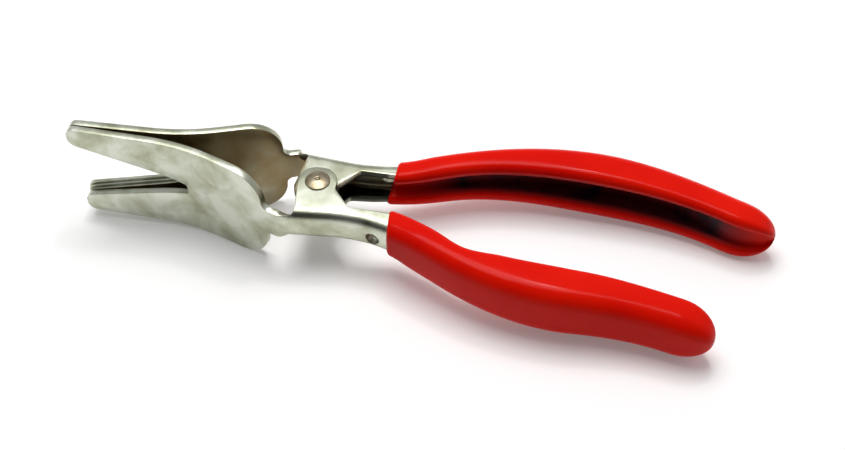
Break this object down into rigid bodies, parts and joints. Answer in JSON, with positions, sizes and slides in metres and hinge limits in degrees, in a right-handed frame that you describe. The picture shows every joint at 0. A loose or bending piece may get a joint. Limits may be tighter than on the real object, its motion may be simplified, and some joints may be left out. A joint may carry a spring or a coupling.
{
  "type": "hose removal pliers",
  "caption": "Hose removal pliers: stamped steel levers with forked spreading jaws, joined by a rivet, with red dipped vinyl grips.",
  "frame": {"origin": "middle of the underside of the box round the whole tool, in the closed pose of the picture", "axes": "+X from the jaw tips to the grips, +Y across the tool from the near lever to the far lever, +Z along the rivet, away from the jaws' lower edges"},
  "size_m": [0.2222, 0.0666, 0.037],
  "materials": {
    "plated_steel": "satin",
    "red_vinyl": "gloss",
    "rivet_steel": "satin, pale gold"
  },
  "bodies": {
    "near_half": {"near_lever": "plated_steel", "near_grip": "red_vinyl", "pivot_rivet": "rivet_steel", "spacer_sleeve": "rivet_steel"},
    "far_half": {"far_lever": "plated_steel", "far_grip": "red_vinyl"}
  },
  "joints": [
    {"name": "pivot", "type": "hinge", "parent": "near_half", "child": "far_half", "pos_m": [-0.03114, 0.00527, 0.0185], "axis": [0, 0, -1], "range_deg": [0, 16]}
  ]
}
